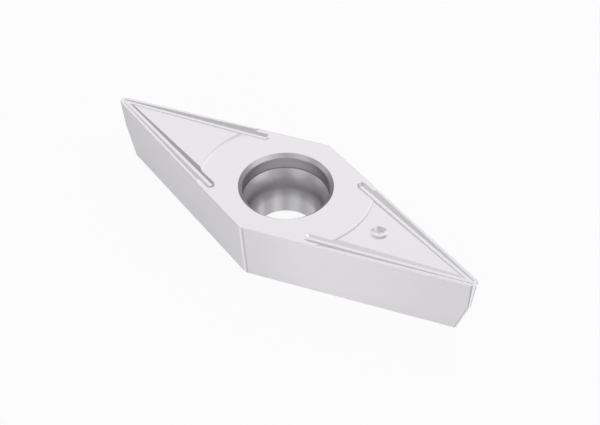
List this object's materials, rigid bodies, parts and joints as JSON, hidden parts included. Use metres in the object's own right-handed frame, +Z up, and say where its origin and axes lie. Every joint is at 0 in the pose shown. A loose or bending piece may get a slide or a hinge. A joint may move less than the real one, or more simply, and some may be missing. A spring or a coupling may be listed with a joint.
{
  "type": "turning insert",
  "caption": "Slender rhombic indexable turning insert in sintered carbide: rounded cutting noses, leaning flanks, chip breaker grooves along the edges and a countersunk screw bore.",
  "frame": {"origin": "centre of the flat underside, on the bore axis", "axes": "+X along the long diagonal towards the nose with the dimple, +Y along the short diagonal, +Z up the bore from the underside to the cutting edges"},
  "size_m": [0.0298, 0.01, 0.0048],
  "materials": {
    "carbide": "satin sintered and ground cemented carbide, light grey"
  },
  "bodies": {
    "root": {"insert_body": "carbide"}
  },
  "joints": []
}
